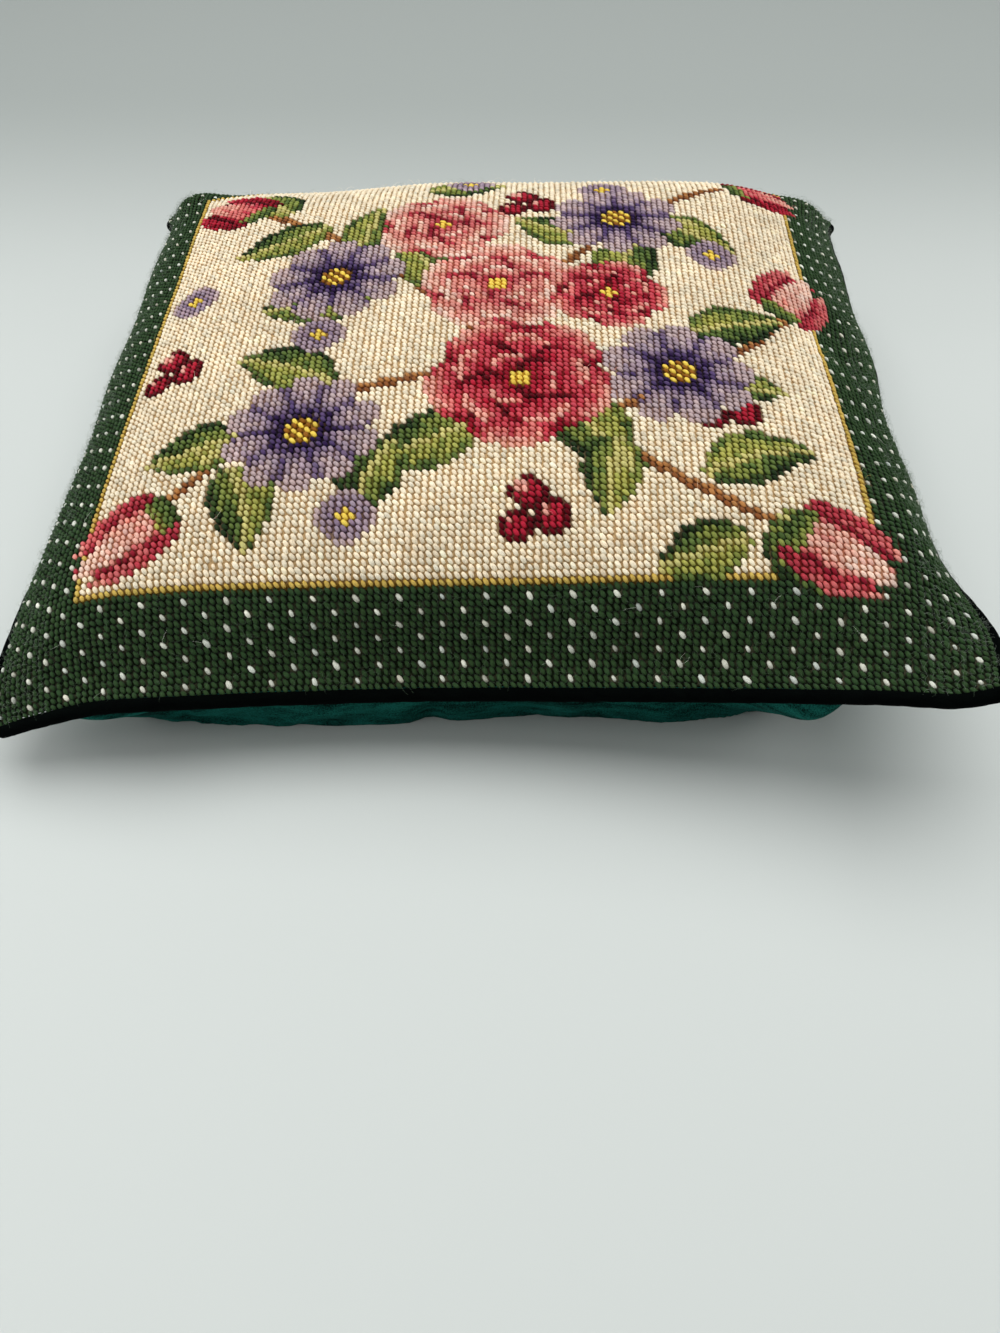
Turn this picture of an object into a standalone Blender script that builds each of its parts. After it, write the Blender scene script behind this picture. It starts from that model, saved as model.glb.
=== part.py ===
"""Square needlepoint cushion lying on its back.

Three pieces: the stitched canvas panel over the crown, the velvet-covered
piping cord in the seam, and the filled velvet body. Metres, +Z up. The origin
is the bottom centre of the whole cushion, so the velvet rests on z = 0.
"""
import bpy
import numpy as np

MM = 0.001

# Driving sizes. The panel is counted in canvas threads.
THREAD_PITCH = 2.54 * MM           # ten threads to the inch
THREADS_ACROSS = 140               # stitches from seam to seam, left to right
THREADS_ALONG = 138                # the same, front to back
HALF_ACROSS = THREADS_ACROSS * THREAD_PITCH / 2
HALF_ALONG = THREADS_ALONG * THREAD_PITCH / 2
PANEL_THICKNESS = 2.5 * MM
PIPING_RADIUS = 3.0 * MM
PIPING_DROP = 2.4 * MM             # cord centre below the panel's outer face
GAP = 0.3 * MM                     # clearance between neighbouring pieces
RIM_HEIGHT = 0.8 * MM              # thickness of the body where its seam ends

# The crown: a broad dome plus a flatter shoulder that falls off near the seam.
# The left and right sides roll over steeply, with the piping tucked under them.
DATUM_HEIGHT = 59.0 * MM           # level over the table that the seam is set out from
DOME_HEIGHT = 28.4 * MM
SHOULDER_HEIGHT = 30.8 * MM
SHOULDER_ACROSS = (5.4, 1.0)       # powers of the shoulder's curve, left to right
SHOULDER_ALONG = (6.9, 2.05)       # the same, front to back
CORNER_ROUNDING = {"front_left": 0.045, "front_right": 0.018,      # how far each is drawn in
                   "back_left": 0.018, "back_right": 0.018}        # as a share
CORNER_POWER = 3.0                 # how close to the corner that stays

# Seam heights over or under the datum at the corners and mid-sides.
SEAM_CORNERS = {"front_left": -12.0 * MM, "front_right": 10.6 * MM,
                "back_left": 4.8 * MM, "back_right": -0.8 * MM}
SEAM_SIDES = {"front": -23.8 * MM, "back": 1.2 * MM, "left": -8.4 * MM, "right": -6.5 * MM}
CORNER_DROOP = {"front_left": -24.5 * MM, "front_right": -6.2 * MM,
                "back_left": -12.6 * MM, "back_right": -4.5 * MM}
DROOP_POWER = 9.0                  # how close to its corner a droop stays

# Slow waves of the side seams: side (-1 left, 1 right), place along, reach, lift.
WAVE_COLUMNS = ("side", "along", "reach", "lift")
SEAM_WAVES = (
    (-1, -0.70, 0.22, 2.1 * MM), (-1, -0.35, 0.22, 2.4 * MM),
    (-1, 0.05, 0.28, 6.4 * MM), (-1, 0.55, 0.30, 6.2 * MM),
    (1, -0.70, 0.22, -1.6 * MM), (1, -0.30, 0.25, 1.4 * MM),
    (1, 0.15, 0.25, 7.0 * MM), (1, 0.60, 0.28, 11.6 * MM),
)
FRONT_WAVES = (                    # the same of the front seam: place across, reach, lift
    (-0.66, 0.12, 3.0 * MM), (0.92, 0.09, -5.0 * MM),
)
WAVE_POWER = 8.0                   # they stay near the seam and fade at its corners

# Soft dents and swellings of the stitched face, in panel coordinates -1 to 1.
DENT_COLUMNS = ("across", "along", "reach_across", "reach_along", "lift")
DENTS = (
    (0.62, 0.68, 0.38, 0.34, 9.6 * MM),      # the filling stands up along the back
    (-0.62, 0.68, 0.38, 0.34, 0.7 * MM),
    (0.78, 0.80, 0.22, 0.22, 4.6 * MM),
    (-0.78, 0.80, 0.22, 0.22, 2.8 * MM),
    (-0.45, 0.80, 0.22, 0.16, -3.3 * MM),
    (-0.12, 0.80, 0.22, 0.16, 1.9 * MM),
    (0.20, 0.80, 0.22, 0.16, 0.8 * MM),
    (0.50, 0.80, 0.22, 0.16, -1.5 * MM),
    (-0.88, 0.88, 0.12, 0.12, 18.7 * MM),    # and fills both back corners
    (0.88, 0.88, 0.12, 0.12, 15.6 * MM),
    (-0.88, -0.45, 0.06, 0.15, -2.1 * MM),   # soft hollows and swellings of the borders
    (-0.90, 0.30, 0.07, 0.20, -1.4 * MM),
    (0.88, -0.65, 0.07, 0.15, 4.6 * MM),
    (0.88, -0.27, 0.06, 0.12, -3.8 * MM),
    (0.86, 0.02, 0.07, 0.13, -5.0 * MM),
    (0.90, 0.50, 0.07, 0.20, -2.1 * MM),
    (-0.80, -0.84, 0.11, 0.11, 4.0 * MM),
    (0.20, -0.35, 0.30, 0.22, -0.8 * MM),
)
DENT_FADE = (6.0, 1.0)             # they die out towards the seam

# The velvet underside: it drops from the seam, bellies out and lies flat.
BACK_DEPTH = 72.0 * MM             # how far the filling pushes it down
BACK_POWERS = (4.6, 0.55)          # how the drop is gathered near the seam
CORNER_THINNING = (0.85, 2.0)      # share and power by which the corners stay thin
BELLY_ACROSS = -0.015              # how far the side walls stand out, as a share: drawn in
BELLY_ALONG = 0.024                # the same at the front and back
BELLY_POWER = 16.0
BELLY_CORNER_FADE = (6.0, 1.0)
PUCKER_DEPTH = 1.8 * MM            # gathers of the velvet beside the seam
PUCKER_REACH = 5.0                 # power that keeps them near the seam
PUCKER_WAVES = ((7.0, 0.4, 0.6), (11.0, 2.1, 0.4))   # waves a side, phase, share

GRID_STEPS = 28                    # faces along each side of a panel
RIM_STATION = 0.979                # one more grid line, where the body ends inside the seam
FINE_STEPS = 280                   # steps of the grid that lengths are summed on
PIPING_SIDES_RESOLUTION = 2        # eight faces round the cord

COLORS = {
    "needlepoint_wool": ((0.105, 0.170, 0.090, 1.0), 0.95),
    "piping_velvet": ((0.004, 0.008, 0.006, 1.0), 0.90),
    "back_velvet": ((0.006, 0.040, 0.036, 1.0), 0.85),
}


def clear_scene():
    for item in list(bpy.data.objects):
        bpy.data.objects.remove(item, do_unlink=True)


def falloff(position, powers):
    """1 in the middle, 0 at the seam, with the drop gathered near the seam."""
    bend, ease = powers
    return np.clip(1 - np.abs(position) ** bend, 0, 1) ** ease


def blend_corners(table, across, along, power=1.0):
    """The four values mixed: each weighs (nearness to its corner) ** power."""
    left, right = (1 - across) / 2, (1 + across) / 2
    front, back = (1 - along) / 2, (1 + along) / 2
    return ((left * front) ** power * table["front_left"]
            + (right * front) ** power * table["front_right"]
            + (left * back) ** power * table["back_left"]
            + (right * back) ** power * table["back_right"])


def seam_plane(across, along):
    """Height of the seam carried over the whole square, from corners and sides."""
    left, right = (1 - across) / 2, (1 + across) / 2
    front, back = (1 - along) / 2, (1 + along) / 2
    corners = blend_corners(SEAM_CORNERS, across, along)
    droop = blend_corners(CORNER_DROOP, across, along, DROOP_POWER)
    sides = ((1 - across ** 2) * (front * SEAM_SIDES["front"] + back * SEAM_SIDES["back"])
             + (1 - along ** 2) * (left * SEAM_SIDES["left"] + right * SEAM_SIDES["right"]))
    waves = np.zeros_like(across)
    for row in SEAM_WAVES:
        wave = dict(zip(WAVE_COLUMNS, row))
        bell = np.exp(-((along - wave["along"]) / wave["reach"]) ** 2)
        near_side = np.clip(wave["side"] * across, 0, 1) ** WAVE_POWER
        waves += wave["lift"] * bell * near_side * (1 - np.abs(along) ** WAVE_POWER)
    for place, reach, lift in FRONT_WAVES:
        bell = np.exp(-((across - place) / reach) ** 2) * (1 - np.abs(across) ** WAVE_POWER)
        waves += lift * bell * np.clip(-along, 0, 1) ** WAVE_POWER
    return DATUM_HEIGHT + corners + sides + droop + waves


def panel_height(across, along):
    """Height of the stitched face over the table."""
    height = seam_plane(across, along)
    height = height + DOME_HEIGHT * (1 - across ** 2) * (1 - along ** 2)
    height = height + (SHOULDER_HEIGHT * falloff(across, SHOULDER_ACROSS)
                       * falloff(along, SHOULDER_ALONG))
    inside = falloff(across, DENT_FADE) * falloff(along, DENT_FADE)
    for row in DENTS:
        dent = dict(zip(DENT_COLUMNS, row))
        away = (((across - dent["across"]) / dent["reach_across"]) ** 2
                + ((along - dent["along"]) / dent["reach_along"]) ** 2)
        height = height + dent["lift"] * np.exp(-away) * inside
    return height


def run_length(slope_steps, step):
    """Plan distance from the centre line, summed along the first axis."""
    middle = slope_steps.shape[0] // 2
    total = np.zeros_like(slope_steps)
    total[1:] = np.cumsum((slope_steps[1:] + slope_steps[:-1]) / 2 * step, axis=0)
    return total - total[middle]


def panel_surface():
    """Points and normals of the stitched face on the fine grid.

    The canvas threads keep their length, so where the face slopes, the plan
    distance shrinks to sqrt(length squared - rise squared). This is what draws
    the sides in between the corners.
    """
    line = np.linspace(-1, 1, FINE_STEPS + 1)
    across, along = np.meshgrid(line, line, indexing="ij")
    step = line[1] - line[0]
    height = panel_height(across, along)
    rise_across = np.gradient(height, step, axis=0, edge_order=2)
    rise_along = np.gradient(height, step, axis=1, edge_order=2)
    run_across = np.sqrt(np.maximum(HALF_ACROSS ** 2 - rise_across ** 2, 0))
    run_along = np.sqrt(np.maximum(HALF_ALONG ** 2 - rise_along ** 2, 0))
    drawn_in = blend_corners(CORNER_ROUNDING, across, along)
    rounding = 1 - drawn_in * np.abs(across * along) ** CORNER_POWER
    plan_x = run_length(run_across, step) * rounding
    plan_y = run_length(run_along.T, step).T * rounding
    points = np.stack([plan_x, plan_y, height], axis=-1)
    normals = np.cross(np.gradient(points, axis=0, edge_order=2),
                       np.gradient(points, axis=1, edge_order=2))
    normals /= np.linalg.norm(normals, axis=-1, keepdims=True)
    return line, points, normals


def side_stations():
    """Panel coordinates of the grid lines, closer together near the seam."""
    even = np.linspace(-1, 1, GRID_STEPS + 1)
    spaced = 0.45 * even + 0.55 * np.sin(even * np.pi / 2)
    return np.sort(np.append(spaced, (-RIM_STATION, RIM_STATION)))


def sample(line, field, stations):
    """Read a fine grid of vectors at the stations, linearly, both ways."""
    place = np.interp(stations, line, np.arange(len(line)))
    low = np.minimum(place.astype(int), len(line) - 2)
    part = (place - low)[:, None, None]
    rows = field[low] * (1 - part) + field[low + 1] * part
    part = (place - low)[None, :, None]
    return rows[:, low] * (1 - part) + rows[:, low + 1] * part


def ring_indices(count):
    """Grid indices round the rim, counter-clockwise seen from above."""
    last = count - 1
    ring = [(i, 0) for i in range(last)]
    ring += [(last, i) for i in range(last)]
    ring += [(i, last) for i in range(last, 0, -1)]
    ring += [(0, i) for i in range(last, 0, -1)]
    return ring


def back_surface(points, normals, across, along):
    """The velvet underside on the same grid: flat where it meets the table."""
    rim = points - normals * (PANEL_THICKNESS + GAP + RIM_HEIGHT)
    seam_level = rim[..., 2] - (panel_height(across, along) - seam_plane(across, along))
    across, along = across / RIM_STATION, along / RIM_STATION
    share, power = CORNER_THINNING
    depth = BACK_DEPTH * (1 - share * np.abs(across * along) ** power)
    depth = depth * falloff(across, BACK_POWERS) * falloff(along, BACK_POWERS)
    near_seam = np.maximum(np.abs(across), np.abs(along)) ** PUCKER_REACH
    near_seam = near_seam * np.minimum(depth / PUCKER_DEPTH, 1)
    pucker = np.zeros_like(across)
    for waves, phase, part in PUCKER_WAVES:
        pucker += part * np.sin(waves * np.pi * (across - along) / 2 + phase)
        pucker += part * np.sin(waves * np.pi * (across + along) / 2 + 2 * phase)
    height = seam_level - depth + PUCKER_DEPTH * near_seam * pucker / 2

    def belly(amount, position, other):
        share = np.abs(position) ** BELLY_POWER
        return 1 + amount * 4 * share * (1 - share) * falloff(other, BELLY_CORNER_FADE)

    plan_x = rim[..., 0] * belly(BELLY_ACROSS, across, along)
    plan_y = rim[..., 1] * belly(BELLY_ALONG, along, across)
    return np.stack([plan_x, plan_y, np.maximum(height, 0)], axis=-1)


def piping_centres(ring_points, ring_normals):
    """The cord's centre line: outward of the panel's rim and a little under it."""
    heading = np.roll(ring_points, -1, axis=0) - np.roll(ring_points, 1, axis=0)
    outward = np.cross(heading, ring_normals)
    outward /= np.linalg.norm(outward, axis=1, keepdims=True)
    return ring_points + outward * (PIPING_RADIUS + GAP) - ring_normals * PIPING_DROP


def make_material(name):
    color, roughness = COLORS[name]
    material = bpy.data.materials.new(name)
    material.use_nodes = True
    shader = material.node_tree.nodes["Principled BSDF"]
    shader.inputs["Base Color"].default_value = color
    shader.inputs["Roughness"].default_value = roughness
    shader.inputs["Metallic"].default_value = 0.0
    material.diffuse_color = color
    return material


def add_two_sided_solid(name, upper, lower, material):
    """A closed solid between two grids of the same size, joined round the rim."""
    count = upper.shape[0]
    vertices = np.concatenate([upper.reshape(-1, 3), lower.reshape(-1, 3)])
    number = np.arange(count * count).reshape(count, count)
    offset = count * count
    faces = []
    for i in range(count - 1):
        for j in range(count - 1):
            a, b, c, d = (int(number[i + m, j + n]) for m, n in ((0, 0), (1, 0), (1, 1), (0, 1)))
            # The same diagonal above and below keeps the gap to the next piece even.
            faces += [(a, b, c), (a, c, d)]
            faces += [(c + offset, b + offset, a + offset), (d + offset, c + offset, a + offset)]
    ring = [int(number[i, j]) for i, j in ring_indices(count)]
    for here, there in zip(ring, ring[1:] + ring[:1]):
        faces += [(there, here, here + offset), (there, here + offset, there + offset)]
    mesh = bpy.data.meshes.new(name)
    mesh.from_pydata(vertices.tolist(), [], faces)
    mesh.shade_smooth()
    mesh.materials.append(material)
    item = bpy.data.objects.new(name, mesh)
    bpy.context.scene.collection.objects.link(item)
    return item


def add_piping(name, centres, material):
    curve = bpy.data.curves.new(name, "CURVE")
    curve.dimensions = "3D"
    curve.bevel_depth = PIPING_RADIUS
    curve.bevel_resolution = PIPING_SIDES_RESOLUTION
    spline = curve.splines.new("POLY")
    spline.points.add(len(centres) - 1)
    for point, place in zip(spline.points, centres.tolist()):
        point.co = (*place, 1.0)
    spline.use_cyclic_u = True
    spline.use_smooth = True
    curve.materials.append(material)
    item = bpy.data.objects.new(name, curve)
    bpy.context.scene.collection.objects.link(item)
    return item


def build_cushion():
    line, fine_points, fine_normals = panel_surface()
    stations = side_stations()
    points = sample(line, fine_points, stations)
    normals = sample(line, fine_normals, stations)
    normals /= np.linalg.norm(normals, axis=-1, keepdims=True)
    across, along = np.meshgrid(stations, stations, indexing="ij")

    ring = tuple(np.array(ring_indices(len(stations))).T)
    centres = piping_centres(points[ring], normals[ring])

    # Slide everything so that the piping's outline is centred on the origin.
    middle = (centres.max(axis=0) + centres.min(axis=0)) / 2
    middle[2] = 0
    centres = centres - middle

    panel_under = points - normals * PANEL_THICKNESS
    inner = (slice(1, -1), slice(1, -1))
    body_over = points[inner] - normals[inner] * (PANEL_THICKNESS + GAP)
    body_under = back_surface(points[inner], normals[inner], across[inner], along[inner])

    add_two_sided_solid("needlepoint_panel", points - middle, panel_under - middle,
                        make_material("needlepoint_wool"))
    add_two_sided_solid("velvet_body", body_over - middle, body_under - middle,
                        make_material("back_velvet"))
    add_piping("velvet_piping", centres, make_material("piping_velvet"))


clear_scene()
build_cushion()
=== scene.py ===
import math

import bpy
import numpy as np
from mathutils import Matrix, Vector


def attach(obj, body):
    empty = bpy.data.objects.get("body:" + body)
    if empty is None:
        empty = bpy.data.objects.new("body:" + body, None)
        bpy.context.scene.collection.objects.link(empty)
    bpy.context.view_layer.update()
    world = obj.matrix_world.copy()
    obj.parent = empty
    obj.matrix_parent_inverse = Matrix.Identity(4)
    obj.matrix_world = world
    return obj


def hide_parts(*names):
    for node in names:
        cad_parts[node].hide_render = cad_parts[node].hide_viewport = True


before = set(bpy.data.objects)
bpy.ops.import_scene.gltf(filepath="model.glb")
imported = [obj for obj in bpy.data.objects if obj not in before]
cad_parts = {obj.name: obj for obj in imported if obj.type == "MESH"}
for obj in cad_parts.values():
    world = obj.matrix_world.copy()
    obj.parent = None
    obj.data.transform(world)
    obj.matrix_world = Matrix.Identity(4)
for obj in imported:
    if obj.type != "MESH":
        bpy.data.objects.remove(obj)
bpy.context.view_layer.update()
mm = 0.001
print("stage: packed cushion loaded")


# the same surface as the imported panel, from the same sizes, on a finer grid
cushionForm = {
    "threadPitch": 2.54 * mm,            # ten threads to the inch
    "threadsAcross": 140,
    "threadsAlong": 138,
    "seamDatum": 59.0 * mm,
    "domeHeight": 28.4 * mm,
    "shoulderHeight": 30.8 * mm,
    "shoulderAcross": (5.4, 1.0),
    "shoulderAlong": (6.9, 2.05),
    # each corner, front left, front right, back left, back right: seam level, droop, share drawn in
    "cornerLevel": (-12.0 * mm, 10.6 * mm, 4.8 * mm, -0.8 * mm),
    "cornerDroop": (-24.5 * mm, -6.2 * mm, -12.6 * mm, -4.5 * mm),
    "cornerDrawnIn": (0.045, 0.018, 0.018, 0.018),
    "droopPower": 9.0,
    "drawnInPower": 3.0,
    "front": -23.8 * mm, "back": 1.2 * mm, "left": -8.4 * mm, "right": -6.5 * mm,
    "seamWaves": (                       # left or right, place along it, reach, lift
        (-1, -0.70, 0.22, 2.1 * mm), (-1, -0.35, 0.22, 2.4 * mm),
        (-1, 0.05, 0.28, 6.4 * mm), (-1, 0.55, 0.30, 6.2 * mm),
        (1, -0.70, 0.22, -1.6 * mm), (1, -0.30, 0.25, 1.4 * mm),
        (1, 0.15, 0.25, 7.0 * mm), (1, 0.60, 0.28, 11.6 * mm),
    ),
    "frontWaves": ((-0.66, 0.12, 3.0 * mm), (0.92, 0.09, -5.0 * mm)),    # place across, reach, lift
    "wavePower": 8.0,
    "dents": (                           # across, along, reach across, reach along, lift
        (0.62, 0.68, 0.38, 0.34, 9.6 * mm),
        (-0.62, 0.68, 0.38, 0.34, 0.7 * mm),
        (0.78, 0.80, 0.22, 0.22, 4.6 * mm),
        (-0.78, 0.80, 0.22, 0.22, 2.8 * mm),
        (-0.45, 0.80, 0.22, 0.16, -3.3 * mm),
        (-0.12, 0.80, 0.22, 0.16, 1.9 * mm),
        (0.20, 0.80, 0.22, 0.16, 0.8 * mm),
        (0.50, 0.80, 0.22, 0.16, -1.5 * mm),
        (-0.88, 0.88, 0.12, 0.12, 18.7 * mm),
        (0.88, 0.88, 0.12, 0.12, 15.6 * mm),
        (-0.88, -0.45, 0.06, 0.15, -2.1 * mm),
        (-0.90, 0.30, 0.07, 0.20, -1.4 * mm),
        (0.88, -0.65, 0.07, 0.15, 4.6 * mm),
        (0.88, -0.27, 0.06, 0.12, -3.8 * mm),
        (0.86, 0.02, 0.07, 0.13, -5.0 * mm),
        (0.90, 0.50, 0.07, 0.20, -2.1 * mm),
        (-0.80, -0.84, 0.11, 0.11, 4.0 * mm),
        (0.20, -0.35, 0.30, 0.22, -0.8 * mm),
    ),
    "dentFade": (6.0, 1.0),
    "ears": (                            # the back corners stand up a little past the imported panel
        (-0.93, 0.90, 0.10, 0.13, 5.2 * mm),
        (0.95, 0.89, 0.11, 0.14, 6.6 * mm),
    ),
    "gridHalf": 140,                     # fine grid steps from the middle to the seam
    "gridBeyond": 3,                     # and a few past it, for the stitches on the seam
}
halfAcross = cushionForm["threadsAcross"] * cushionForm["threadPitch"] / 2
halfAlong = cushionForm["threadsAlong"] * cushionForm["threadPitch"] / 2


def fadeToSeam(place, powers):
    # 1 in the middle and 0 at the seam: (1 - |place|^bend)^ease, carried on past the seam with its sign
    bend, ease = powers
    rest = 1 - np.abs(place) ** bend
    return np.sign(rest) * np.abs(rest) ** ease


def mixCorners(values, s, t, power=1.0):
    # each corner's value times (nearness to it)^power; nearness is the bilinear weight
    near = [np.maximum(1 + side * s, 0) * np.maximum(1 + end * t, 0) / 4
            for side, end in ((-1, -1), (1, -1), (-1, 1), (1, 1))]
    return sum(value * weight ** power for value, weight in zip(values, near))


def unit(vectors):
    return vectors / np.maximum(np.linalg.norm(vectors, axis=-1, keepdims=True), 1e-12)


def bell(q, middle, reach):
    # 1 at the middle, falling off as exp(-(distance / reach)^2)
    return np.exp(-((q - middle) / reach) ** 2)


def softBump(s, t, row):
    # a row's lift * exp(-(distance across / reach)^2 - (distance along / reach)^2)
    across, along, reachAcross, reachAlong, lift = row
    return lift * np.exp(-(((s - across) / reachAcross) ** 2 + ((t - along) / reachAlong) ** 2))


def seamLevel(s, t):
    # corner heights mixed bilinearly, plus each side's rise, which is greatest at its middle, plus the
    # droop of each corner, plus bells along the side and front seams that fade inwards, plus the ears
    f = cushionForm
    power = f["wavePower"]
    left, right, front, back = (1 - s) / 2, (1 + s) / 2, (1 - t) / 2, (1 + t) / 2
    sides = ((1 - s ** 2) * (front * f["front"] + back * f["back"])
             + (1 - t ** 2) * (left * f["left"] + right * f["right"]))
    level = f["seamDatum"] + sides + mixCorners(f["cornerLevel"], s, t)
    level = level + mixCorners(f["cornerDroop"], s, t, f["droopPower"])
    fadeAcross, fadeAlong = (1 - np.minimum(np.abs(q), 1) ** power for q in (s, t))
    for side, middle, reach, lift in f["seamWaves"]:
        level = level + lift * bell(t, middle, reach) * fadeAlong * np.clip(side * s, 0, 1) ** power
    for middle, reach, lift in f["frontWaves"]:
        level = level + lift * bell(s, middle, reach) * fadeAcross * np.clip(-t, 0, 1) ** power
    for ear in f["ears"]:
        level = level + softBump(s, t, ear)
    return level


def faceHeight(s, t):
    # seam level + dome * (1 - s^2)(1 - t^2) + shoulder + soft dents, each a bell of its own reach
    f = cushionForm
    height = seamLevel(s, t) + f["domeHeight"] * (1 - s ** 2) * (1 - t ** 2)
    shoulder = fadeToSeam(s, f["shoulderAcross"]) * fadeToSeam(t, f["shoulderAlong"])
    height = height + f["shoulderHeight"] * shoulder
    inside = np.maximum(fadeToSeam(s, f["dentFade"]), 0) * np.maximum(fadeToSeam(t, f["dentFade"]), 0)
    for dent in f["dents"]:
        height = height + softBump(s, t, dent) * inside
    return height


def faceGrid():
    # threads keep their length, so plan distance is the sum of sqrt(length^2 - rise^2) from the middle
    f = cushionForm
    reach = f["gridHalf"] + f["gridBeyond"]
    line = np.arange(-reach, reach + 1) / f["gridHalf"]
    step = 1 / f["gridHalf"]
    s, t = np.meshgrid(line, line, indexing="ij")
    height = faceHeight(s, t)
    runX = np.sqrt(np.maximum(halfAcross ** 2 - np.gradient(height, step, axis=0) ** 2, 0))
    runY = np.sqrt(np.maximum(halfAlong ** 2 - np.gradient(height, step, axis=1) ** 2, 0))
    planX, planY = np.zeros_like(s), np.zeros_like(s)
    planX[1:] = np.cumsum((runX[1:] + runX[:-1]) / 2 * step, axis=0)
    planY[:, 1:] = np.cumsum((runY[:, 1:] + runY[:, :-1]) / 2 * step, axis=1)
    drawnIn = mixCorners(f["cornerDrawnIn"], s, t)
    rounding = 1 - drawnIn * np.minimum(np.abs(s * t), 1) ** f["drawnInPower"]
    planX = (planX - planX[reach]) * rounding
    planY = (planY - planY[:, reach:reach + 1]) * rounding
    points = np.stack([planX, planY, height], axis=-1)
    return line, points, unit(np.cross(np.gradient(points, axis=0), np.gradient(points, axis=1)))


def readGrid(field, s, t):
    # bilinear: the four nearest grid values, each weighted by how near it is
    place = [(np.clip(q, gridLine[0], gridLine[-1]) - gridLine[0]) * cushionForm["gridHalf"]
             for q in (s, t)]
    low = [np.minimum(p.astype(int), len(gridLine) - 2) for p in place]
    a, b = (place[0] - low[0])[..., None], (place[1] - low[1])[..., None]
    i, j = low
    return ((1 - a) * (1 - b) * field[i, j] + a * (1 - b) * field[i + 1, j]
            + (1 - a) * b * field[i, j + 1] + a * b * field[i + 1, j + 1])


def onFace(s, t, lift=0.0):
    # a point of the face, moved along its normal by lift, and in plan so that the part's middle is 0
    normal = unit(readGrid(gridNormals, s, t))
    return readGrid(gridPoints, s, t) + normal * np.asarray(lift)[..., None] - planMiddle


gridLine, gridPoints, gridNormals = faceGrid()
planMiddle = np.zeros(3)                 # until the piping's line gives it


pipingForm = {
    "radius": 2.6 * mm,                  # of the covered cord
    "packedRadius": 3.0 * mm,            # its solid stands a little further out and lower
    "packedDrop": 2.4 * mm,
    "clear": 0.3 * mm,                   # from the panel's rim
    "drop": 2.1 * mm,                    # centre under the face
    "backTuck": 2.5 * mm,                # how far in it lies under both back corners
    "backTuckPower": 10,
    "backTuckSink": 0.6,                 # and this share of it lower
    "rimSteps": 28,                      # stations along a side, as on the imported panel
    "rimStation": 0.979,
    "evenShare": 0.45,
    "sineShare": 0.55,
    "steps": 960,                        # round the whole seam
    "sides": 18,
    "tuckPitch": 9.0 * mm,               # slanting tucks of the bias strip
    "tuckDepth": 0.14 * mm,
    "tuckSlant": 2,
    "tuckUneven": 1.4,
    "sway": 0.22 * mm,                   # how unevenly the cord lies
    "swayWaves": (9, 17, 31, 47),        # waves round the seam
    "swayOut": 0.4,                      # of the sway goes outwards
    "swayStagger": 190,                  # steps between the outward and the upward sway
    "thickSpread": 0.02,
    "seed": 5,
}


def sideStations(count, extra):
    # even steps mixed with sine steps, which stand closer near the seam
    f, even = pipingForm, np.linspace(-1, 1, count + 1)
    return np.sort(np.append(f["evenShare"] * even + f["sineShare"] * np.sin(even * np.pi / 2), extra))


def rimRing(stations):
    # panel coordinates round the rim, counter-clockwise from above
    ahead, back = stations[:-1], stations[:0:-1]
    one = np.ones(len(ahead))
    return np.concatenate([ahead, one, back, -one]), np.concatenate([-one, ahead, one, back])


def closedCurve(points, count):
    # Catmull-Rom through the points, closed, read at even chord distances; columns past the third
    # ride along
    chord = np.linalg.norm((np.roll(points, -1, axis=0) - points)[:, :3], axis=1)
    place = np.concatenate([[0], np.cumsum(chord)])
    target = np.arange(count) / count * place[-1]
    k = np.clip(np.searchsorted(place, target, side="right") - 1, 0, len(points) - 1)
    x = ((target - place[k]) / chord[k])[:, None]
    p0, p1, p2, p3 = (points[(k + n) % len(points)] for n in (-1, 0, 1, 2))
    return 0.5 * (2 * p1 + (p2 - p0) * x + (2 * p0 - 5 * p1 + 4 * p2 - p3) * x ** 2
                  + (3 * p1 - p0 - 3 * p2 + p3) * x ** 3)


def pipingLine(radius, drop, backTuck):
    f = pipingForm
    s, t = rimRing(sideStations(f["rimSteps"], (-f["rimStation"], f["rimStation"])))
    rim, up = onFace(s, t), unit(readGrid(gridNormals, s, t))
    outward = unit(np.cross(np.roll(rim, -1, axis=0) - np.roll(rim, 1, axis=0), up))
    # under both back corners the wool folds over the cord: it lies further in and lower
    tuck = backTuck * ((np.abs(s) * np.clip(t, 0, 1)) ** f["backTuckPower"])[:, None]
    aside, down = radius + f["clear"] - tuck, drop + f["backTuckSink"] * tuck
    return rim + outward * aside - up * down, outward


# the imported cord's middle in plan is the origin
packedCentres = pipingLine(pipingForm["packedRadius"], pipingForm["packedDrop"], 0)[0]
planMiddle = (packedCentres.max(axis=0) + packedCentres.min(axis=0)) / 2 * np.array([1, 1, 0])
pipingCentres, pipingOut = pipingLine(pipingForm["radius"], pipingForm["drop"], pipingForm["backTuck"])
print("stage: face and seam worked out")


def toLinear(hexColour):
    # sRGB to linear, by the standard curve
    parts = np.array([int(hexColour[n:n + 2], 16) / 255 for n in (1, 3, 5)])
    return np.where(parts <= 0.04045, parts / 12.92, ((parts + 0.055) / 1.055) ** 2.4)


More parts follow.
